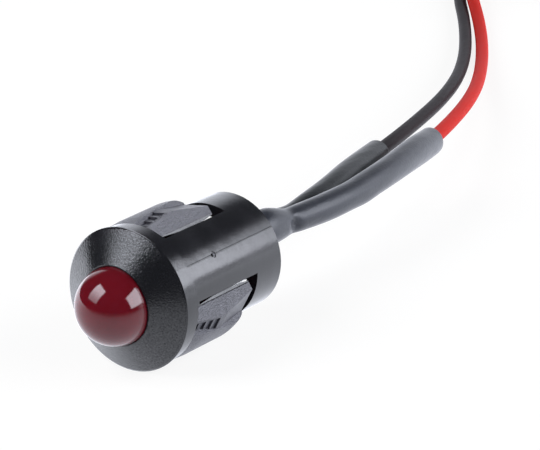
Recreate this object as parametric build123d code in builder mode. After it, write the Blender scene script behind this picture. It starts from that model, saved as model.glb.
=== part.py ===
"""Panel-mount indicator light: a 5 mm LED held in a one-piece snap-in bezel, with two
sleeved solder joints and a red and a black flying lead.

Frame: the axis lies along Y with the lens facing -Y, +Z is up, and the origin is on the
axis in the panel seat, the rear face of the bezel's collar.  The light lies on its side
on the plane z = -rim_radius, and its leads run back along that plane to a small coil.
All sizes are in millimetres.
"""
import os
from math import cos, radians, sin, tan

from build123d import *

# LED, the standard 5 mm type
led_radius = 2.5
led_length = 8.7
led_flange_radius = 2.9
led_flange_height = 1.0
led_lead_size = 0.5
led_lead_pitch = 2.54
led_lead_tilt = 16.0  # degrees by which the row of leads is turned from level
led_flat_depth = 0.35
led_frame_height = 4.8  # of the lead frame inside the lens
led_frame_gap = 0.35  # between the post and the anvil
led_frame_middle = 0.575
led_anvil_height = 1.1
led_anvil_foot = 1.6
led_fit = 0.05  # radial clearance round the LED

# Bezel, one nylon moulding
rim_radius = 4.65
rim_land = 0.16
rim_step = 0.13  # how far the rim stands out of the collar
rim_chamfer = 0.05
collar_length = 1.25  # rim plane to panel seat
cone_height = 1.22  # rim plane to nose
nose_land = 0.08
body_radius = 3.8
body_wall = 0.8
body_length = 9.75  # panel seat to rear end
rear_chamfer = 0.28
catch_height = 0.2  # ridge that holds the LED's flange from behind
gate_mark_radius = 0.22  # sunk ring round the broken-off gate
gate_mark_depth = 0.07
gate_pip_radius = 0.11
gate_pip_height = 0.05
gate_mark_place = 3.4

# Spring tabs of the bezel.  Each is a curved wall with a smooth rib along its middle and a
# flat flank on either side, which slopes down to the tab's straight side.
tab_clock = 36.0  # degrees from the vertical, turned about the axis
tab_half_width = 2.97
tab_inner_radius = 3.4
tab_length = 6.0
tab_root = 1.05  # where the side slits begin
tab_rib_radius = 4.58
tab_ramp_start = 4.6
tab_ramp_end_radius = 4.1
tab_ramp_sag = 0.13  # fall of the rounded ramp halfway along it
rib_half_width_front = 2.35
rib_half_width_rear = 1.3
flank_tilt = 26.0  # degrees
flank_reach = 4.52  # from the axis to the plane of a flank, square to it
flank_ramp_start = 2.95
flank_tip_reach = 3.95
tooth_count = 4
tooth_pitch = 0.655
tooth_rise = 0.085  # from one crest to the next
tooth_depth = 0.06  # fall of each tooth from its crest to the next tooth's foot
first_tooth = 0.41
first_tooth_depth = 0.17
edge_width = 0.16  # of the strip that closes the teeth off along the tab's side
seat_relief = 0.05  # keeps the collar off the panel where the teeth stand over it
window_length = 1.0  # opening between a tab's tip and the rear ring
slit_height = 2.2  # distance of the slits from the middle plane
slit_front_width = 0.17
slit_middle_width = 0.04
slit_rear_width = 0.15
slit_middle_start = 2.5
slit_middle_end = 5.3

# Leads, joints and sleeves
wire_diameter = 1.0
core_radius = 0.25
lead_past_led = 5.2  # length of an LED lead behind the LED
bare_length = 2.0  # stripped strands between the joint and the insulation
solder_length = 2.6
solder_radius = 0.55
sleeve_diameter = 1.8
sleeve_start = 0.7  # behind the LED
sleeve_joint_bore = 0.62  # radius of a sleeve's bore over the joint
red_sleeve_end = 31.2  # along the red route, from the LED
black_sleeve_end = 27.6

# Coil of the leads' spare length
coil_centre = (-25.0, 87.3)
coil_radius = 6.95  # centre line of the outermost turn
coil_turns = 2
stub_length = 4.0
stub_radius = 0.49  # a little less than the coil's half height, so that the stub lies within it
approach_length = 4.6
tail_bend_radius = 3.2
tail_turn = 90.0
tail_length = 1.2  # straight insulation behind the bend
tip_length = 3.0
red_entry = 214.0  # degrees round the coil at which each lead joins it
black_entry = 208.0

# Dependent sizes
seat_y = 0.0
rim_y = seat_y - collar_length
nose_y = rim_y - cone_height
collar_radius = rim_radius - rim_step
socket_radius = led_radius + led_fit
bore_radius = body_radius - body_wall
led_tip_y = nose_y - led_radius
led_base_y = led_tip_y + led_length
flange_seat_y = led_base_y - led_flange_height
ring_y = tab_length + window_length
wire_radius = wire_diameter / 2
sleeve_radius = sleeve_diameter / 2
floor_z = -rim_radius
lying_z = floor_z + wire_radius
lead_x = led_lead_pitch / 2 * cos(radians(led_lead_tilt))
lead_z = led_lead_pitch / 2 * sin(radians(led_lead_tilt))

coil_inner_radius = coil_radius - coil_turns * wire_diameter - wire_radius
coil_outer_radius = coil_radius + wire_radius
blank_radius = tab_rib_radius + 0.5  # of the wall that the tabs are cut from
clear_radius = blank_radius + 0.5  # reaches past it
red_coil_z = lying_z + wire_diameter

# Centre lines of the two leads, from the LED's base to where they near the coil
red_points = [
    (lead_x, led_base_y, lead_z), (lead_x, led_base_y + 2.4, lead_z), (0.2, 13.6, 0.3),
    (0.95, 20.8, 0.18), (0.05, 28.4, 0.05), (-2.5, 37.4, -0.35), (-7.8, 49.4, -2.0),
    (-14.3, 60.6, -3.8), (-20.1, 69.3, lying_z),
]
black_points = [
    (-lead_x, led_base_y, -lead_z), (-lead_x, led_base_y + 2.4, -lead_z), (-1.5, 13.6, -0.38),
    (-1.1, 20.2, -0.3), (-3.0, 27.8, -0.27), (-5.2, 36.4, -0.6), (-9.7, 48.9, -2.1),
    (-15.6, 60.1, -3.7), (-21.6, 69.3, lying_z),
]


def coil_point(angle, height):
    """A point on the coil's outermost turn, the angle counted from +X towards +Y."""
    turn = radians(angle)
    x = coil_centre[0] + coil_radius * cos(turn)
    y = coil_centre[1] + coil_radius * sin(turn)
    return Vector(x, y, height)


def coil_heading(angle):
    """The direction in which a clockwise turn runs at an angle."""
    return Vector(sin(radians(angle)), -cos(radians(angle)), 0)


def corner_radii(points):
    """The largest arc at each corner of a route that its two runs allow."""
    radii = []
    for before, corner, after in zip(points, points[1:], points[2:]):
        first = Vector(corner) - Vector(before)
        second = Vector(after) - Vector(corner)
        half_turn = radians(first.get_angle(second)) / 2
        radii.append(0.45 * min(first.length, second.length) / tan(half_turn))
    return radii


def route(name, points):
    """A route of straight runs joined by tangent arcs, as one wire."""
    radii = corner_radii(points)
    with BuildLine() as line:
        FilletPolyline(*points, radius=radii)
    path = line.wire()
    print(name, "corner radii:", " ".join(f"{radius:.1f}" for radius in radii))
    print(name, f"route length: {path.length:.2f}")
    return path


def stretch(path, start, end):
    """The part of a route between two distances along it."""
    return path.trim(start / path.length, min(end / path.length, 1.0))


def section(path):
    """The plane square to a path at its start."""
    return Plane(origin=path @ 0, z_dir=path % 0)


def approach(entry, height):
    """The last straight run of a lead, up to its coil's stub."""
    join = coil_point(entry, height)
    heading = coil_heading(entry)
    return [tuple(join - heading * (stub_length + approach_length)), tuple(join - heading * stub_length)]


red_route = route("red", red_points + approach(red_entry, red_coil_z))
black_route = route("black", black_points + approach(black_entry, lying_z))


# Bezel ----------------------------------------------------------------------------------

# The turned shape with two openings, which leave only the near and far webs between the
# collar and the rear ring.
with BuildPart() as shell:
    with BuildSketch(Plane.XY):
        with BuildLine():
            Polyline(
                (socket_radius, nose_y),
                (socket_radius + nose_land, nose_y),
                (rim_radius - 2 * rim_chamfer, rim_y - rim_chamfer),
                (rim_radius, rim_y + rim_chamfer),
                (rim_radius, rim_y + rim_land),
                (collar_radius, rim_y + rim_land + rim_step),
                (collar_radius, seat_y),
                (body_radius, seat_y),
                (body_radius, body_length - rear_chamfer),
                (body_radius - rear_chamfer, body_length),
                (bore_radius, body_length),
                (bore_radius, led_base_y + led_fit + 2 * catch_height),
                (bore_radius - catch_height, led_base_y + led_fit + catch_height),
                (bore_radius, led_base_y + led_fit),
                (bore_radius, flange_seat_y),
                (socket_radius, flange_seat_y),
                close=True,
            )
        make_face()
    revolve(axis=Axis.Y)
    for side in (1, -1):
        with BuildSketch(Plane.XZ.offset(-tab_root)):
            with Locations((0, side * (slit_height + body_radius))):
                Rectangle(4 * body_radius, 2 * body_radius)
        extrude(amount=-(ring_y - tab_root), mode=Mode.SUBTRACT)

# One spring tab, standing up along +Z behind the collar: a wall with its slits' outline,
with BuildPart() as tab:
    with BuildSketch(Plane.XY):
        with Locations(((tab_inner_radius + blank_radius) / 2, tab_length / 2)):
            Rectangle(blank_radius - tab_inner_radius, tab_length)
    revolve(axis=Axis.Y)
    with BuildSketch(Plane.YZ):
        with BuildLine():
            Polyline(
                (seat_y, slit_height),
                (tab_root, slit_height),
                (tab_root, slit_height + slit_front_width),
                (slit_middle_start, slit_height + slit_middle_width),
                (slit_middle_end, slit_height + slit_middle_width),
                (tab_length, slit_height + slit_rear_width),
                (tab_length, clear_radius),
                (seat_y, clear_radius),
                close=True,
            )
        make_face()
    extrude(amount=tab_half_width, both=True, mode=Mode.INTERSECT)

# what is cut from it over its rib,
with BuildPart() as rib_cut:
    with BuildSketch(Plane.XY):
        with BuildLine():
            ramp = ThreePointArc(
                (tab_rib_radius, tab_ramp_start),
                (tab_rib_radius - tab_ramp_sag, (tab_ramp_start + tab_length) / 2),
                (tab_ramp_end_radius, tab_length),
            )
            Polyline(
                ramp @ 1,
                (clear_radius, tab_length),
                (clear_radius, seat_y),
                (collar_radius, seat_y),
                (tab_rib_radius, tab_root),
                ramp @ 0,
            )
        make_face()
    revolve(axis=Axis.Y)
    with BuildSketch(Plane.XY):
        with BuildLine():
            Polyline(
                (rib_half_width_front, seat_y - seat_relief),
                (rib_half_width_rear, tab_length),
                (-rib_half_width_rear, tab_length),
                (-rib_half_width_front, seat_y - seat_relief),
                close=True,
            )
        make_face()
    extrude(amount=clear_radius, mode=Mode.INTERSECT)

# and what is cut from its flanks to leave their teeth and ramps.
tilt = radians(flank_tilt)
across_flank = Plane(origin=(0, 0, 0), x_dir=(sin(tilt), 0, cos(tilt)), z_dir=(-cos(tilt), 0, sin(tilt)))
first_crest = flank_reach - (tooth_count - 1) * tooth_rise
last_riser = first_tooth + (tooth_count - 1) * tooth_pitch


def flank_cutter(profile, half_width):
    """What lies over a flank's profile, from the rib out to a half width of the tab."""
    with BuildPart() as cutter:
        with BuildSketch(across_flank):
            with BuildLine():
                Polyline(
                    (clear_radius, seat_y - seat_relief),
                    *profile,
                    (flank_reach, flank_ramp_start),
                    (flank_tip_reach, tab_length),
                    (clear_radius, tab_length),
                    close=True,
                )
            make_face()
        extrude(amount=clear_radius, both=True)
        with BuildSketch(Plane.XY):
            with BuildLine():
                Polyline(
                    (rib_half_width_front, seat_y - seat_relief),
                    (rib_half_width_rear, tab_length),
                    (half_width, tab_length),
                    (half_width, seat_y - seat_relief),
                    close=True,
                )
            make_face()
        extrude(amount=clear_radius, mode=Mode.INTERSECT)
    return cutter.part


def stair():
    """The teeth's profile: each riser faces the collar and reaches further out than the last."""
    foot = first_crest - first_tooth_depth
    profile = [(foot, seat_y - seat_relief)]
    for tooth in range(tooth_count):
        riser = first_tooth + tooth * tooth_pitch
        crest = first_crest + tooth * tooth_rise
        profile += [(foot, riser), (crest, riser)]
        foot = crest - tooth_depth
    return profile


wedge_foot = first_crest - tooth_rise * first_tooth / tooth_pitch
wedge = [(wedge_foot, seat_y - seat_relief), (wedge_foot, seat_y), (flank_reach, last_riser)]
flank_cut = flank_cutter(wedge, tab_half_width) + flank_cutter(stair(), tab_half_width - edge_width)

# The whole moulding, with its gate mark on the near web, turned to where it lies.
with BuildPart() as housing:
    add(shell.part)
    for turn in (0, 180):
        with Locations(Rotation(0, turn, 0)):
            add(tab.part)
    for turn in (0, 180):
        with Locations(Rotation(0, turn, 0)):
            add(rib_cut.part, mode=Mode.SUBTRACT)
            add(flank_cut, mode=Mode.SUBTRACT)
            add(mirror(flank_cut, about=Plane.YZ, mode=Mode.PRIVATE), mode=Mode.SUBTRACT)
    gate = Plane.YZ.offset(body_radius)
    with BuildSketch(gate):
        with Locations((gate_mark_place, 0)):
            Circle(gate_mark_radius)
            Circle(gate_pip_radius, mode=Mode.SUBTRACT)
    extrude(amount=-gate_mark_depth, both=True, mode=Mode.SUBTRACT)
    with BuildSketch(gate.offset(-gate_mark_depth)):
        with Locations((gate_mark_place, 0)):
            Circle(gate_pip_radius)
    extrude(amount=gate_mark_depth + gate_pip_height)
housing.part = housing.part.rotate(Axis.Y, -tab_clock)


# LED ------------------------------------------------------------------------------------

row = Vector(cos(radians(led_lead_tilt)), 0, sin(radians(led_lead_tilt)))
sheet = Plane(origin=(0, led_base_y, 0), x_dir=row, z_dir=row.cross(Vector(0, 1, 0)))


def led_lead(path, outline):
    """A lead frame's half: a flat shape in the lens, drawn on the sheet plane, and its leg."""
    with BuildPart() as lead:
        with BuildSketch(sheet):
            with BuildLine():
                Polyline(*outline, close=True)
            make_face()
        extrude(amount=led_lead_size / 2, both=True)
        with BuildSketch(Plane(origin=path @ 0, x_dir=row, z_dir=path % 0)):
            Rectangle(led_lead_size, led_lead_size)
        sweep(path=stretch(path, 0, lead_past_led))
    return lead.part


inside = led_lead_pitch / 2 - led_lead_size / 2
outside = inside + led_lead_size
post_edge = led_frame_middle + led_frame_gap / 2
anvil_edge = led_frame_middle - led_frame_gap / 2
post_outline = [
    (inside, 0),
    (outside, 0),
    (outside, -led_frame_height),
    (post_edge, -led_frame_height),
    (post_edge, -led_frame_height + led_lead_size),
    (inside, -led_frame_height + led_lead_size + inside - post_edge),
]
anvil_outline = [
    (-inside, 0),
    (-outside, 0),
    (-outside, -led_frame_height),
    (anvil_edge, -led_frame_height),
    (anvil_edge, -led_frame_height + led_anvil_height),
    (-inside, -led_anvil_foot),
]
anode = led_lead(red_route, post_outline)
cathode = led_lead(black_route, anvil_outline)

with BuildPart() as lens:
    with BuildSketch(Plane.XY):
        with BuildLine():
            dome = CenterArc((0, nose_y), led_radius, 270, 90)
            Polyline(
                dome @ 1,
                (led_radius, flange_seat_y),
                (led_flange_radius, flange_seat_y),
                (led_flange_radius, led_base_y),
                (0, led_base_y),
                dome @ 0,
            )
        make_face()
    revolve(axis=Axis.Y)
    with BuildSketch(sheet):
        with Locations((-2 * led_flange_radius + led_flat_depth, -led_flange_height / 2)):
            Rectangle(2 * led_flange_radius, led_flange_height)
    extrude(amount=led_flange_radius, both=True, mode=Mode.SUBTRACT)
    add(anode, mode=Mode.SUBTRACT)
    add(cathode, mode=Mode.SUBTRACT)


# Leads ----------------------------------------------------------------------------------

insulation_start = lead_past_led + bare_length
joint_end = lead_past_led + solder_length / 2


def rod(path, radius):
    """A round rod along a path."""
    with BuildPart() as solid:
        with BuildSketch(section(path)):
            Circle(radius)
        sweep(path=path)
    return solid.part


def solder_joint(path, lead, core):
    """The solder round an LED lead and the bare strands laid against its end."""
    joint = rod(stretch(path, lead_past_led - solder_length / 2, joint_end), solder_radius)
    return joint - lead - core


def sleeve(path, end):
    """A shrunk sleeve, with a wider bore over the joint than over the insulation."""
    outside = rod(stretch(path, sleeve_start, end), sleeve_radius)
    over_joint = rod(stretch(path, 0, joint_end), sleeve_joint_bore)
    over_wire = rod(stretch(path, joint_end, path.length), wire_radius)
    return outside - over_joint - over_wire


def coil(entry, height):
    """The outer shape of a flat coil, its straight stub and its tail inside the turns."""
    join = coil_point(entry, height)
    heading = coil_heading(entry)
    tail_start, tail_heading = tail(entry, height)
    with BuildPart() as lump:
        with BuildSketch(Plane.XY.offset(height - wire_radius)):
            with Locations(coil_centre):
                Circle(coil_outer_radius)
                Circle(coil_inner_radius, mode=Mode.SUBTRACT)
        extrude(amount=wire_diameter)
        add(rod(Edge.make_line(join - heading * stub_length, join), stub_radius))
        tail_end = tail_start + tail_heading * tail_length
        add(rod(Edge.make_line(tail_start - tail_heading * tail_bend_radius, tail_end), stub_radius))
    return lump.part


def tail(entry, height):
    """Where a lead's end comes straight again after its bend out of the innermost turn."""
    inner = coil_radius - coil_turns * wire_diameter
    turn = radians(entry)
    after = radians(entry - tail_turn)
    shift = inner - tail_bend_radius
    x = coil_centre[0] + shift * cos(turn) + tail_bend_radius * cos(after)
    y = coil_centre[1] + shift * sin(turn) + tail_bend_radius * sin(after)
    return Vector(x, y, height), coil_heading(entry - tail_turn)


def stripped_tip(entry, height):
    """The bare strands at a lead's far end."""
    tail_start, tail_heading = tail(entry, height)
    tip_start = tail_start + tail_heading * tail_length
    return rod(Edge.make_line(tip_start, tip_start + tail_heading * tip_length), core_radius)


red_core = rod(stretch(red_route, lead_past_led, insulation_start), core_radius)
black_core = rod(stretch(black_route, lead_past_led, insulation_start), core_radius)

parts = {
    "housing": housing.part,
    "led_lens": lens.part,
    "led_anode_lead": anode,
    "led_cathode_lead": cathode,
    "anode_solder": solder_joint(red_route, anode, red_core),
    "cathode_solder": solder_joint(black_route, cathode, black_core),
    "red_wire_core": red_core,
    "black_wire_core": black_core,
    "anode_sleeve": sleeve(red_route, red_sleeve_end),
    "cathode_sleeve": sleeve(black_route, black_sleeve_end),
    "red_wire": rod(stretch(red_route, insulation_start, red_route.length), wire_radius),
    "black_wire": rod(stretch(black_route, insulation_start, black_route.length), wire_radius),
    "red_wire_coil": coil(red_entry, red_coil_z),
    "black_wire_coil": coil(black_entry, lying_z),
    "red_wire_tip": stripped_tip(red_entry, red_coil_z),
    "black_wire_tip": stripped_tip(black_entry, lying_z),
}

os.makedirs("parts", exist_ok=True)
for name, solid in parts.items():
    solid.label = name
    export_step(solid, f"parts/{name}.step")
    print(f"{name}: {solid.volume:.3f} mm3, {len(solid.solids())} solid")
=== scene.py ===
"""Looks of the panel-mount indicator light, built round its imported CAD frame.

Everything is in metres in the part's own frame: the axis along Y with the lens facing -Y,
+Z up, and the origin in the panel seat.  Sizes below are in millimetres, scaled by MM.
"""
from math import cos, degrees, exp, pi, radians, sin, tan

import bmesh
import bpy
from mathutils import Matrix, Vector


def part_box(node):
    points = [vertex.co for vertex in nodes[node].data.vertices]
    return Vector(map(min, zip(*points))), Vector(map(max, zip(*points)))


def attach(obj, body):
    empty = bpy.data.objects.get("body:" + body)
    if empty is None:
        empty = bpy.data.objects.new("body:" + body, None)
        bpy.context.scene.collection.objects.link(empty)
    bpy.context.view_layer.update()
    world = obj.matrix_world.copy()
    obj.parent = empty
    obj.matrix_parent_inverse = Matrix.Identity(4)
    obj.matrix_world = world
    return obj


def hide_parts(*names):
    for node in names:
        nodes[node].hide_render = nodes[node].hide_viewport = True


MM = 0.001
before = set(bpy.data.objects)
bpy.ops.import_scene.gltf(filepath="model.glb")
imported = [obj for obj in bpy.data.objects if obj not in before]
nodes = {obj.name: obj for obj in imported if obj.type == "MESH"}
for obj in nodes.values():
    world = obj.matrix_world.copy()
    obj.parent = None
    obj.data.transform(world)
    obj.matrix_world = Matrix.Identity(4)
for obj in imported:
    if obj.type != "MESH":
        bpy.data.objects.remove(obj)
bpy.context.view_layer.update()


# ---------------------------------------------------------------------------- camera

CAMERA_PLACE = Vector((122.31, -152.21, 78.32)) * MM
CAMERA_AZIMUTH = 36.44
CAMERA_ELEVATION = 20.72
CAMERA_LENS = 227.7


def add_camera():
    """A long lens, from the front right and a little above."""
    data = bpy.data.cameras.new("camera")
    data.lens = CAMERA_LENS
    data.sensor_width = 36.0
    data.clip_start = 0.01
    data.clip_end = 20.0
    camera = bpy.data.objects.new("camera", data)
    camera.location = CAMERA_PLACE
    camera.rotation_euler = (radians(90 - CAMERA_ELEVATION), 0, radians(CAMERA_AZIMUTH))
    bpy.context.scene.collection.objects.link(camera)
    bpy.context.scene.camera = camera


# ---------------------------------------------------------------------------- materials

RIM_Y = -1.25  # where the cone begins
BODY_RADIUS = 3.8
TAB_CLOCK = radians(36)  # from the vertical to the middle of a tab
LENS_DARK = (0.13, 0.004, 0.01)
LENS_LIGHT = (0.17, 0.008, 0.017)
BEZEL_DARK = (0.008, 0.0085, 0.01)
BEZEL_LIGHT = (0.013, 0.0135, 0.017)
# Tab colours: the eroded grain's own grey, made paler with painted brightness of the lit flats and
# painted glints in the light speckle.
TAB_DARK = (0.015, 0.015, 0.02)
TAB_LIGHT_GLINTS = (0.07, 0.07, 0.088)
TAB_ROUGHER = 0.28  # than the rest of the bezel
CONE_GRAIN = 0.4  # shares of the grain's depth
TAB_GRAIN = 1.4
PLAIN_GRAIN = 0.08


# Sockets of the Mix node that take and give colours
MIX_FIRST, MIX_SECOND, MIX_RESULT = 6, 7, 2


class Nodes:
    """A node tree with the few kinds of node that materials and the world share."""

    def __init__(self, owner):
        owner.use_nodes = True
        self.tree = owner.node_tree

    def node(self, kind, **settings):
        made = self.tree.nodes.new("ShaderNode" + kind)
        for key, value in settings.items():
            setattr(made, key, value)
        return made

    def link(self, source, target):
        self.tree.links.new(source, target)

    def math(self, operation, first, second=0.0):
        """A sum of two values, each an output or a number."""
        made = self.node("Math", operation=operation)
        for value, socket in zip((first, second), made.inputs):
            if isinstance(value, float):
                socket.default_value = value
            else:
                self.link(value, socket)
        return made.outputs[0]

    def mixed(self, amount, first, second):
        """A colour between two, by amount; each is a colour or an output."""
        made = self.node("Mix", data_type="RGBA")
        self.link(amount, made.inputs[0])
        for value, socket in ((first, made.inputs[MIX_FIRST]), (second, made.inputs[MIX_SECOND])):
            if isinstance(value, tuple):
                socket.default_value = (*value, 1)
            else:
                self.link(value, socket)
        return made.outputs[MIX_RESULT]


class Shader(Nodes):
    """A Principled material with a few helpers for its procedural detail."""

    def __init__(self, name, color, roughness, **inputs):
        self.material = bpy.data.materials.new(name)
        super().__init__(self.material)
        self.surface = self.tree.nodes["Principled BSDF"]
        self.surface.inputs["Base Color"].default_value = (*color, 1)
        self.surface.inputs["Roughness"].default_value = roughness
        for key, value in inputs.items():
            self.surface.inputs[key.replace("_", " ")].default_value = value
        self.place = self.node("TexCoord").outputs["Object"]
        self.height = None

    def stretched(self, scale):
        """The object's coordinates scaled by axis, so that grain can run one way."""
        mapping = self.node("Mapping")
        mapping.inputs["Scale"].default_value = scale
        self.link(self.place, mapping.inputs["Vector"])
        return mapping.outputs["Vector"]

    def noise(self, size, detail=2.0, place=None):
        """Noise whose blobs are about size millimetres across."""
        made = self.node("TexNoise")
        made.inputs["Scale"].default_value = 1 / (size * MM)
        made.inputs["Detail"].default_value = detail
        self.link(place or self.place, made.inputs["Vector"])
        return made.outputs["Fac"]

    def ramp(self, source, low, high, start=0.0, end=1.0):
        """Maps a value from start..end to low..high."""
        made = self.node("MapRange")
        made.inputs["From Min"].default_value = start
        made.inputs["From Max"].default_value = end
        made.inputs["To Min"].default_value = low
        made.inputs["To Max"].default_value = high
        self.link(source, made.inputs["Value"])
        return made.outputs["Result"]

    def along(self, direction):
        """How far a place lies along a direction, in millimetres."""
        made = self.node("VectorMath", operation="DOT_PRODUCT")
        made.inputs[1].default_value = Vector(direction) / MM
        self.link(self.place, made.inputs[0])
        return made.outputs["Value"]

    def from_axis(self):
        """Distance from the light's axis, in millimetres."""
        made = self.node("VectorMath", operation="LENGTH")
        self.link(self.stretched((1 / MM, 0, 1 / MM)), made.inputs[0])
        return made.outputs["Value"]

    def bump(self, source, depth, strength=1.0):
        """Adds relief of depth millimetres."""
        made = self.node("Bump")
        made.inputs["Strength"].default_value = strength
        made.inputs["Distance"].default_value = depth * MM
        self.link(source, made.inputs["Height"])
        if self.height is not None:
            self.link(self.height, made.inputs["Normal"])
        self.height = made.outputs["Normal"]
        self.link(self.height, self.surface.inputs["Normal"])

    def roughness(self, source):
        self.link(source, self.surface.inputs["Roughness"])

    def color(self, source):
        self.link(source, self.surface.inputs["Base Color"])

    def shine(self, source):
        self.link(source, self.surface.inputs["Specular IOR Level"])


def bezel_material():
    """Black nylon: spark-eroded on the cone and more so on the tabs, smoother elsewhere. The tabs'
    paler speckled colour is partly their grain's own grey and partly painted glints and painted
    brightness.
    """
    shader = Shader("bezel_nylon", BEZEL_DARK, 0.3, IOR=1.52)
    length = shader.along((0, 1, 0))
    cone = shader.ramp(length, 1.0, 0.0, RIM_Y - 0.02, RIM_Y + 0.02)
    behind_seat = shader.ramp(length, 0.0, 1.0, 0.0, 0.05)
    proud = shader.ramp(shader.from_axis(), 0.0, 1.0, BODY_RADIUS + 0.02, BODY_RADIUS + 0.06)
    tabs = shader.math("MULTIPLY", behind_seat, proud)

    patches = shader.noise(2.2, detail=4.0)
    plain = shader.mixed(patches, BEZEL_DARK, BEZEL_LIGHT)
    # The tabs' light speckle is partly the grain's own tone and partly painted glints.
    speckle_and_glints = shader.mixed(shader.noise(0.2), TAB_DARK, TAB_LIGHT_GLINTS)
    shader.color(shader.mixed(tabs, plain, speckle_and_glints))
    rough = shader.ramp(patches, 0.15, 0.23, 0.3, 0.7)
    shader.roughness(shader.math("ADD", rough, shader.math("MULTIPLY", tabs, TAB_ROUGHER)))

    on_cone = shader.math("MULTIPLY", cone, CONE_GRAIN)
    on_tabs = shader.math("MULTIPLY", tabs, TAB_GRAIN)
    amount = shader.math("ADD", shader.math("ADD", on_cone, on_tabs), PLAIN_GRAIN)
    shader.bump(shader.math("MULTIPLY", shader.noise(0.11, detail=1.0), amount), 0.035)
    # The cone's pits are also duller, which shows where they are too small to be shaded.
    pits = shader.ramp(shader.noise(0.1), -0.16, 0.2, 0.32, 0.68)
    shader.shine(shader.math("ADD", shader.math("MULTIPLY", pits, cone), 0.5))
    for size, detail, depth in ((0.5, 2.0, 0.005), (1.4, 1.0, 0.012)):
        shader.bump(shader.noise(size, detail), depth)

    # The mould's parting line runs along the barrel, midway between the tabs.
    seam = shader.math("ABSOLUTE", shader.along((-sin(TAB_CLOCK), 0, cos(TAB_CLOCK))))
    line = shader.ramp(seam, 1.0, 0.0, 0.02, 0.05)
    shader.bump(shader.math("MULTIPLY", line, behind_seat), 0.02)
    return shader.material


def lens_material():
    """Dark red tinted epoxy with a polished surface."""
    shader = Shader("red_lens", LENS_DARK, 0.06, IOR=1.5)
    shader.surface.inputs["Subsurface Weight"].default_value = 0.35
    shader.surface.inputs["Subsurface Radius"].default_value = (1.2, 0.15, 0.12)
    shader.surface.inputs["Subsurface Scale"].default_value = MM
    shader.color(shader.mixed(shader.noise(1.6), LENS_DARK, LENS_LIGHT))
    shader.bump(shader.noise(0.9), 0.002)
    return shader.material


def sleeve_material(name, dark, light, shine):
    """Slate-black shrunk polyolefin, satin, with faint creases along it."""
    shader = Shader(name, dark, 0.4, IOR=1.5, Specular_IOR_Level=shine)
    along = shader.stretched((1.0, 0.22, 1.0))
    creases = shader.noise(0.55, detail=4.0, place=along)
    shader.color(shader.mixed(creases, dark, light))
    shader.roughness(shader.ramp(creases, 0.32, 0.46))
    shader.bump(creases, 0.06, 0.8)
    shader.bump(shader.noise(0.18), 0.012)
    return shader.material


def insulation_material(name, dark, light, roughness):
    """Extruded PVC with faint draw lines and a slight mottle."""
    shader = Shader(name, dark, roughness, IOR=1.5, Specular_IOR_Level=0.1)
    along = shader.stretched((1.0, 0.15, 1.0))
    lines = shader.noise(0.3, detail=3.0, place=along)
    shader.color(shader.mixed(lines, dark, light))
    shader.roughness(shader.ramp(lines, roughness - 0.06, roughness + 0.08))
    shader.bump(lines, 0.006)
    return shader.material


def metal_material(name, color, roughness, grain):
    """Plated or soldered metal with fine grain."""
    shader = Shader(name, color, roughness, Metallic=1.0)
    mottle = shader.noise(grain, detail=3.0)
    darker = tuple(0.8 * value for value in color)
    shader.color(shader.mixed(mottle, darker, color))
    shader.roughness(shader.ramp(mottle, roughness - 0.08, roughness + 0.1))
    shader.bump(mottle, 0.01)
    return shader.material


class Studio(Nodes):
    """A material or world of the studio."""

    def fade(self, source, start, end, low, high):
        """A smooth step of a value's range onto low..high."""
        made = self.node("MapRange", interpolation_type="SMOOTHSTEP")
        for name, value in (("From Min", start), ("From Max", end), ("To Min", low), ("To Max", high)):
            made.inputs[name].default_value = value
        self.link(source, made.inputs["Value"])
        return made.outputs["Result"]

    def added(self, first, second):
        """Two shaders on top of each other."""
        made = self.node("AddShader")
        self.link(first.outputs[0], made.inputs[0])
        self.link(second.outputs[0], made.inputs[1])
        return made

    def rays(self):
        """1 for camera rays, and 1 for rays by way of a reflection or glass."""
        path = self.node("LightPath").outputs
        mirrored = self.math("MAXIMUM", path["Is Glossy Ray"], path["Is Transmission Ray"])
        return path["Is Camera Ray"], mirrored


def floor_material():
    """A white sweep that keeps the shadow and looks near white wherever it is seen."""
    material = bpy.data.materials.new("studio_floor")
    studio = Studio(material)
    studio.tree.nodes.clear()
    diffuse = studio.node("BsdfDiffuse")
    diffuse.inputs["Color"].default_value = (FLOOR_SHADE, FLOOR_SHADE, FLOOR_SHADE, 1)
    forward = studio.node("VectorMath", operation="DOT_PRODUCT")
    forward.inputs[1].default_value = (sin(radians(CAMERA_AZIMUTH)), -cos(radians(CAMERA_AZIMUTH)), 0)
    studio.link(studio.node("TexCoord").outputs["Object"], forward.inputs[0])
    near = studio.fade(
        forward.outputs["Value"], SWEEP_BACK * MM, SWEEP_FRONT * MM, SWEEP_SHINE, SWEEP_FAR
    )
    camera, mirrored = studio.rays()
    direct = studio.node("Emission")
    studio.link(studio.math("MULTIPLY", camera, FLOOR_GLOW), direct.inputs["Strength"])
    bounce = studio.node("Emission")
    bounce.inputs["Color"].default_value = (*COOL, 1)
    shine = studio.math("MULTIPLY", mirrored, studio.math("SUBTRACT", near, FLOOR_BOUNCE))
    unseen = studio.math("SUBTRACT", 1.0, camera)
    level = studio.math("MULTIPLY", unseen, studio.math("ADD", shine, FLOOR_BOUNCE))
    studio.link(level, bounce.inputs["Strength"])
    glow = studio.added(direct, bounce)
    studio.link(studio.added(glow, diffuse).outputs[0], studio.node("OutputMaterial").inputs["Surface"])
    return material


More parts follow.
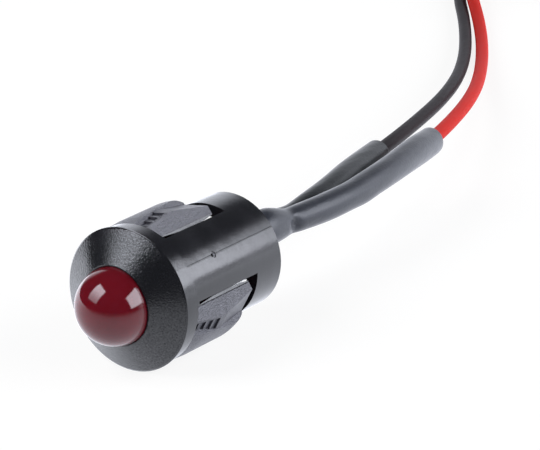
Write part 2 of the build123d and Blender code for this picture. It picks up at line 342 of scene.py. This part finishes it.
def panel_material(shine, foot):
    """A softbox's face, with soft edges, and its own level towards its foot."""
    material = bpy.data.materials.new("softbox_face")
    studio = Studio(material)
    studio.tree.nodes.clear()
    axes = studio.node("SeparateXYZ")
    studio.link(studio.node("TexCoord").outputs["Generated"], axes.inputs[0])
    level = studio.fade(axes.outputs["Y"], *FACE_RISE, foot, shine)
    for axis in ("X", "Y"):
        reach = studio.math("ABSOLUTE", studio.math("SUBTRACT", axes.outputs[axis], 0.5), 0.0)
        level = studio.math("MULTIPLY", studio.fade(reach, *FACE_EDGE, 1.0, 0.0), level)
    light = studio.node("Emission")
    light.inputs["Color"].default_value = (*COOL, 1)
    studio.link(level, light.inputs["Strength"])
    studio.link(light.outputs[0], studio.node("OutputMaterial").inputs["Surface"])
    return material


# ---------------------------------------------------------------------------- helpers

# Edges past these angles aren't shaded smooth.
LENS_SHARP = radians(40)
TUBE_SHARP = radians(50)


def dress(material, *names):
    """Gives CAD nodes their material."""
    for name in names:
        node = nodes[name]
        node.data.materials.clear()
        node.data.materials.append(material)


def mesh_object(name, mesh, material):
    piece = bpy.data.objects.new(name, mesh)
    bpy.context.scene.collection.objects.link(piece)
    mesh.materials.append(material)
    return piece


def skinned(name, mesh, strips, sharp, material):
    """A smooth piece from a mesh, with strips of faces between pairs of its rings."""
    for first, second in strips:
        for side in range(len(first)):
            other = (side + 1) % len(first)
            mesh.faces.new((first[side], first[other], second[other], second[side]))
    bmesh.ops.recalc_face_normals(mesh, faces=mesh.faces)
    data = bpy.data.meshes.new(name)
    mesh.to_mesh(data)
    mesh.free()
    data.shade_smooth()
    data.set_sharp_from_angle(angle=sharp)
    return mesh_object(name, data, material)


def nurbs_line(name, points):
    """A smooth line led by control points in millimetres."""
    curve = bpy.data.curves.new(name, "CURVE")
    curve.dimensions = "3D"
    spline = curve.splines.new("NURBS")
    spline.points.add(len(points) - 1)
    for point, place in zip(spline.points, points):
        point.co = (*(Vector(place) * MM), 1)
    spline.order_u = 3
    spline.use_endpoint_u = True
    spline.resolution_u = 10
    piece = bpy.data.objects.new(name, curve)
    bpy.context.scene.collection.objects.link(piece)
    return piece


# ---------------------------------------------------------------------------- lens

LED_RADIUS = 2.5
FLANGE_RADIUS = 2.9
FLANGE_HEIGHT = 1.0
FLANGE_FLAT = 0.35  # depth of the flat, on the cathode's side
MOULD_ROUND = 0.06  # the cast edges of the flange
BARREL_RING = 1.5  # a ring of the barrel ahead of the flange
BASE_RING = 1.2  # radius of a ring within the base
LED_TILT = radians(16)  # of the row of its leads, from level
DOME_STEPS = 28
ROUND_STEPS = 4
LED_SIDES = 96


def lens_profile(tip, base):
    """Radius and place along Y, in millimetres, from the dome's tip to its base."""
    profile = []
    for step in range(1, DOME_STEPS + 1):
        turn = pi / 2 * step / DOME_STEPS
        profile.append((LED_RADIUS * sin(turn), tip + LED_RADIUS * (1 - cos(turn))))
    seat = base - FLANGE_HEIGHT
    profile += [(LED_RADIUS, seat - BARREL_RING), (LED_RADIUS, seat)]
    rounding = []
    for step in range(ROUND_STEPS + 1):
        turn = pi / 2 * step / ROUND_STEPS
        out = FLANGE_RADIUS - MOULD_ROUND * (1 - cos(turn))
        rounding.append((out, MOULD_ROUND * (1 - sin(turn))))
    profile += [(out, seat + depth) for out, depth in reversed(rounding)]
    profile += [(out, base - depth) for out, depth in rounding]
    profile.append((BASE_RING, base))
    return profile


def add_lens():
    """The LED's body as one cast piece: dome, barrel and a flange with its flat."""
    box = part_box("led_lens")
    tip = box[0][1] / MM
    base = box[1][1] / MM
    row = Vector((cos(LED_TILT), 0, sin(LED_TILT)))
    flat = FLANGE_FLAT - FLANGE_RADIUS
    mesh = bmesh.new()
    rings = []
    for radius, place in lens_profile(tip, base):
        ring = []
        for side in range(LED_SIDES):
            turn = 2 * pi * side / LED_SIDES
            spot = Vector((radius * cos(turn), place, radius * sin(turn)))
            if radius > LED_RADIUS:
                spot += row * max(0.0, flat - spot.dot(row))
            ring.append(mesh.verts.new(spot * MM))
        rings.append(ring)
    for ring, place in ((rings[0], tip), (rings[-1], base)):
        middle = mesh.verts.new((0, place * MM, 0))
        for side in range(LED_SIDES):
            mesh.faces.new((ring[side], ring[(side + 1) % LED_SIDES], middle))
    piece = skinned("led_body", mesh, zip(rings, rings[1:]), LENS_SHARP, finishes["lens"])
    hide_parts("led_lens")
    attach(piece, "root")


# ---------------------------------------------------------------------------- leads

RIM_RADIUS = 4.65
WIRE_RADIUS = 0.5
LYING = WIRE_RADIUS - RIM_RADIUS
LED_BASE = 3.73
LEAD_PITCH = 2.54
LEAD_X = LEAD_PITCH / 2 * cos(LED_TILT)
LEAD_Z = LEAD_PITCH / 2 * sin(LED_TILT)
STRAIGHT = LED_BASE + 2.4  # keeps a lead straight where it leaves the LED

# The routes of the part's source, from the LED's base to where they near the coil, with a
# few points by the sleeves moved by up to 0.25 mm.
RED_ROUTE = [
    (LEAD_X, LED_BASE, LEAD_Z), (LEAD_X, STRAIGHT, LEAD_Z), (0.2, 13.6, 0.32), (0.95, 20.8, 0.28),
    (0.05, 28.4, 0.3), (-2.5, 37.4, -0.3), (-7.8, 49.4, -2.0), (-14.3, 60.6, -3.8),
    (-20.1, 69.3, LYING),
]
BLACK_ROUTE = [
    (-LEAD_X, LED_BASE, -LEAD_Z), (-LEAD_X, STRAIGHT, -LEAD_Z), (-1.5, 13.6, -0.45),
    (-1.1, 20.2, -0.3), (-3.0, 27.8, -0.27), (-5.15, 36.4, -0.73), (-9.7, 48.9, -2.1),
    (-15.6, 60.1, -3.7), (-21.6, 69.3, LYING),
]

COIL_CENTRE = (-25.0, 87.3)
COIL_RADIUS = 6.95
COIL_TURNS = 2
COIL_STEPS = 16  # control points in each turn
STUB = 4.0  # straight, ahead of the turns
APPROACH = 4.6  # straight, ahead of the stub
LAST_POINT = 1.6  # a control point of the stub, ahead of the turns
TAIL_RADIUS = 3.2
TAIL_TURN = radians(90)
TAIL_STEPS = 6
TAIL_LENGTH = 1.2  # straight, behind the bend


def on_circle(centre, radius, turn, height):
    return Vector((centre[0] + radius * cos(turn), centre[1] + radius * sin(turn), height))


def coil_points(entry, height):
    """The turns of a lead's spare length and the tail curled into their middle."""
    start = radians(entry)
    heading = Vector((sin(start), -cos(start), 0))
    join = on_circle(COIL_CENTRE, COIL_RADIUS, start, height)
    points = [join - heading * (STUB + APPROACH), join - heading * LAST_POINT]

    # Control points stand a little outside the turns that the spline makes of them.
    outside = (1 + 1 / cos(pi / COIL_STEPS)) / 2
    steps = COIL_STEPS * COIL_TURNS
    narrowing = COIL_TURNS * 2 * WIRE_RADIUS
    for step in range(steps + 1):
        turn = start - 2 * pi * step / COIL_STEPS
        radius = COIL_RADIUS - narrowing * step / steps
        if 0 < step < steps:
            radius *= outside
        points.append(on_circle(COIL_CENTRE, radius, turn, height))

    middle = on_circle(COIL_CENTRE, COIL_RADIUS - narrowing - TAIL_RADIUS, start, height)
    for step in range(1, TAIL_STEPS + 1):
        turn = start - TAIL_TURN * step / TAIL_STEPS
        points.append(on_circle(middle, TAIL_RADIUS, turn, height))
    away = start - TAIL_TURN
    points.append(points[-1] + TAIL_LENGTH * Vector((sin(away), -cos(away), 0)))
    return points


def sampled(piece):
    """The points of a curve that has no bevel, in millimetres."""
    mesh = bpy.data.meshes.new_from_object(piece)
    points = [vertex.co / MM for vertex in mesh.vertices]
    bpy.data.meshes.remove(mesh)
    return points


def distances(points):
    """How far along a line each of its points lies."""
    along = [0.0]
    for before, after in zip(points, points[1:]):
        along.append(along[-1] + (after - before).length)
    return along


def between(points, start, end, step):
    """Points a step apart on a line, from one distance along it to another."""
    along = distances(points)
    end = min(end, along[-1])
    count = max(2, round((end - start) / step) + 1)
    result = []
    index = 0
    for number in range(count):
        target = start + (end - start) * number / (count - 1)
        while index < len(along) - 2 and along[index + 1] < target:
            index += 1
        share = (target - along[index]) / (along[index + 1] - along[index])
        result.append(points[index].lerp(points[index + 1], share))
    return result


def frames(points):
    """Two directions square to a line at each point, turning as little as they can."""
    result = []
    side = Vector((0, 0, 1))
    for index in range(len(points)):
        before = points[max(index - 1, 0)]
        after = points[min(index + 1, len(points) - 1)]
        heading = (after - before).normalized()
        side = (side - heading * side.dot(heading)).normalized()
        result.append((side, heading.cross(side)))
    return result


def tube(name, points, radius, bore, material, sides):
    """A tube along points in millimetres.

    radius and bore each take a distance along the tube and an angle and give a radius;
    with no bore the tube is a solid rod.
    """
    mesh = bmesh.new()
    along = distances(points)
    axes = frames(points)
    surfaces = []
    for shape in (radius, bore):
        if shape is None:
            continue
        rings = []
        for point, place, (up, across) in zip(points, along, axes):
            ring = []
            for side in range(sides):
                turn = 2 * pi * side / sides
                reach = shape(place, turn)
                spot = point + (up * cos(turn) + across * sin(turn)) * reach
                ring.append(mesh.verts.new(spot * MM))
            rings.append(ring)
        surfaces.append(rings)
    outer = surfaces[0]
    strips = list(zip(outer, outer[1:]))
    if bore is None:
        mesh.faces.new(list(reversed(outer[0])))
        mesh.faces.new(outer[-1])
    else:
        inner = surfaces[1]
        strips += [(after, before) for before, after in zip(inner, inner[1:])]
        strips += [(inner[0], outer[0]), (outer[-1], inner[-1])]
    return skinned(name, mesh, strips, TUBE_SHARP, material)


INSULATION_START = 7.2  # along a lead from the LED
SLEEVE_START = 0.7
SLEEVE_RADIUS = 0.88
SLEEVE_CLEARANCE = 0.02  # round the wire
SLEEVE_STEP = 0.25  # between the rings of its mesh
SLEEVE_SIDES = 32
WIRE_STEP = 0.35
WIRE_SIDES = 24

# What the sleeves' radius gains all round, as the place along the sleeve, the reach along
# it and the height in its middle, in millimetres.
RED_SWELLS = [(8.2, 1.8, 0.05), (10.4, 1.2, -0.1)]
BLACK_SWELLS = [(10.0, 2.0, 0.08), (12.8, 1.8, -0.1)]

# What it gains on one side: the place along the sleeve, the angle in degrees from its top
# (90 is towards +X), the reach along it, the reach round it in degrees, and the height.
RED_DENTS = [
    (8.2, -30, 1.8, 70, 0.62),  # the neck, drawn over both joints
    (10.3, 88, 0.42, 32, -0.34),  # the crease behind it
    (14.2, 150, 3.0, 45, 0.08),
    (17.0, -20, 1.2, 40, -0.04),
    (18.2, 140, 1.2, 40, 0.07),
    (18.9, 60, 1.0, 35, -0.05),
    (21.5, -30, 6.0, 60, 0.16),
    (27.2, -30, 3.2, 55, 0.17),
    (30.0, 150, 4.0, 50, 0.12),
]
BLACK_DENTS = [
    (13.2, -30, 1.6, 70, -0.1),
    (20.0, -30, 5.5, 60, 0.15),
    (24.0, 120, 5.0, 60, 0.12),
]


def sleeve_shape(swells, dents):
    """A sleeve's radius, which depends on the distance along it and the angle round it."""

    def reach_at(place, turn):
        reach = SLEEVE_RADIUS
        for centre, length, height in swells:
            share = (place - centre) / length
            reach += height / (1 + share ** 4 + 3 * share ** 2)
        for centre, facing, length, breadth, height in dents:
            aside = (degrees(turn) - facing + 180) % 360 - 180
            reach += height * exp(-((place - centre) / length) ** 2 - (aside / breadth) ** 2)
        return reach

    return reach_at


def round_of(size):
    """A shape of one radius all along."""
    return lambda place, turn: size


def add_lead(color, joint, route, entry, height, sleeve_end, shape):
    """A sleeve and the lead that runs from inside it to its stripped end.

    entry is where on the coil the lead joins it, in degrees from +X; height is the coil's.
    """
    line = nurbs_line(color + "_line", route + coil_points(entry, height))
    path = sampled(line)
    bpy.data.objects.remove(line)
    total = distances(path)[-1]

    sleeve_path = between(path, SLEEVE_START, sleeve_end, SLEEVE_STEP)
    bore = round_of(WIRE_RADIUS + SLEEVE_CLEARANCE)
    finish = finishes[joint + "_sleeve"]
    sleeve = tube(joint + "_shrink_sleeve", sleeve_path, shape, bore, finish, SLEEVE_SIDES)
    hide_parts(joint + "_sleeve")
    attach(sleeve, "root")

    wire_path = between(path, INSULATION_START, total, WIRE_STEP)
    wire = tube(color + "_lead", wire_path, round_of(WIRE_RADIUS), None, finishes[color], WIRE_SIDES)
    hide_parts(color + "_wire", color + "_wire_coil")
    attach(wire, "root")


# ---------------------------------------------------------------------------- studio

WHITE = (1.0, 1.0, 1.0)
COOL = (0.88, 0.91, 1.0)
FLOOR_SIZE = 4.0  # metres
FLOOR_SHADE = 0.17
FLOOR_GLOW = 0.86  # added where the camera sees the floor
FLOOR_BOUNCE = 0.5  # added to what lights the object from below
SWEEP_SHINE = 2.5  # of the white sweep in reflections, behind the object
SWEEP_FAR = 0.1  # and in front, where it ends
SWEEP_BACK = -50.0
SWEEP_FRONT = 65.0
BOX_DISTANCE = 450.0
FACE_RISE = (0.1, 0.8)  # of a softbox's height, over which its face brightens
FACE_EDGE = (0.38, 0.5)  # of its size from the middle, over which the face fades out
FILL_POWER = 1.8  # watts of each lamp
ROOM_LEVEL = 0.04
WALL_LEVEL = 1.9
WALL_SIDES = (0.2, 0.6)  # of a direction's Y, over which the wall fades in
WALL_TOP = (0.38, 0.62)  # of its Z, over which the wall fades out


def add_floor():
    bpy.ops.mesh.primitive_plane_add(size=FLOOR_SIZE, location=(0, 0, -RIM_RADIUS * MM))
    floor = bpy.context.object
    floor.name = "studio_floor"
    floor.data.materials.append(floor_material())


def add_softbox(name, azimuth, elevation, width, height, shine, foot):
    """A lamp for the light itself, and its bright face for reflections alone.

    Where it stands and how wide and high it looks from the object are in degrees; shine is
    its face's level at the top, and foot the share of that at its foot.
    """
    away = Vector((
        sin(radians(azimuth)) * cos(radians(elevation)),
        -cos(radians(azimuth)) * cos(radians(elevation)),
        sin(radians(elevation)),
    ))
    reach = 2 * BOX_DISTANCE * MM
    size = Vector((reach * tan(radians(width / 2)), reach * tan(radians(height / 2)), 1))
    turn = away.to_track_quat("Z", "Y").to_euler()
    data = bpy.data.lights.new(name, "AREA")
    data.shape = "RECTANGLE"
    data.size = size.x
    data.size_y = size.y
    data.energy = FILL_POWER
    lamp = bpy.data.objects.new(name, data)
    lamp.location = away * BOX_DISTANCE * MM
    lamp.rotation_euler = turn
    lamp.visible_camera = False
    lamp.visible_glossy = False
    bpy.context.scene.collection.objects.link(lamp)
    bpy.ops.mesh.primitive_plane_add(size=1, location=lamp.location, rotation=turn)
    face = bpy.context.object
    face.name = name + "_face"
    face.scale = size
    face.data.materials.append(panel_material(shine, foot * shine))
    face.visible_camera = False
    face.visible_diffuse = False
    face.visible_shadow = False


def add_world():
    """White where it is seen, a low white wall behind the light and a dark room elsewhere."""
    world = bpy.data.worlds.new("studio")
    bpy.context.scene.world = world
    studio = Studio(world)
    axes = studio.node("SeparateXYZ")
    studio.link(studio.node("TexCoord").outputs["Generated"], axes.inputs[0])
    behind = studio.fade(axes.outputs["Y"], *WALL_SIDES, 0.0, WALL_LEVEL)
    low = studio.fade(axes.outputs["Z"], *WALL_TOP, 1.0, 0.0)
    wall = studio.math("ADD", studio.math("MULTIPLY", behind, low), ROOM_LEVEL)
    camera = studio.rays()[0]
    background = studio.tree.nodes["Background"]
    studio.link(studio.math("MAXIMUM", wall, camera), background.inputs["Strength"])
    studio.link(studio.mixed(camera, COOL, WHITE), background.inputs["Color"])


# ---------------------------------------------------------------------------- build

bpy.context.scene.view_settings.view_transform = "Standard"
add_camera()
add_floor()
add_world()
add_softbox(
    "left_softbox", azimuth=-36, elevation=39, width=39, height=46, shine=9.5, foot=0.35
)
add_softbox(
    "right_softbox", azimuth=114, elevation=26, width=64, height=40, shine=8.5, foot=1.0
)

finishes = {
    "bezel": bezel_material(),
    "lens": lens_material(),
    "anode_sleeve": sleeve_material(
        "front_sleeve", dark=(0.014, 0.016, 0.022), light=(0.026, 0.029, 0.039), shine=0.38
    ),
    "cathode_sleeve": sleeve_material(
        "rear_sleeve", dark=(0.009, 0.011, 0.012), light=(0.017, 0.019, 0.021), shine=0.24
    ),
    "red": insulation_material(
        "red_insulation", dark=(0.48, 0.01, 0.005), light=(0.57, 0.017, 0.009), roughness=0.7
    ),
    "black": insulation_material(
        "black_insulation", dark=(0.006, 0.004, 0.005), light=(0.011, 0.007, 0.008), roughness=0.6
    ),
    "tin": metal_material("tinned_steel", (0.72, 0.72, 0.7), roughness=0.3, grain=0.3),
    "solder": metal_material("solder", (0.62, 0.62, 0.62), roughness=0.45, grain=0.4),
    "strands": metal_material("wire_strands", (0.7, 0.66, 0.6), roughness=0.35, grain=0.2),
}
dress(finishes["bezel"], "housing")
add_lens()
dress(finishes["tin"], "led_anode_lead", "led_cathode_lead")
dress(finishes["solder"], "anode_solder", "cathode_solder")
dress(finishes["strands"], "red_wire_core", "black_wire_core", "red_wire_tip", "black_wire_tip")
add_lead(
    "red", "anode", RED_ROUTE, entry=214.0, height=LYING + 2 * WIRE_RADIUS,
    sleeve_end=31.2, shape=sleeve_shape(RED_SWELLS, RED_DENTS),
)
add_lead(
    "black", "cathode", BLACK_ROUTE, entry=208.0, height=LYING,
    sleeve_end=27.6, shape=sleeve_shape(BLACK_SWELLS, BLACK_DENTS),
)
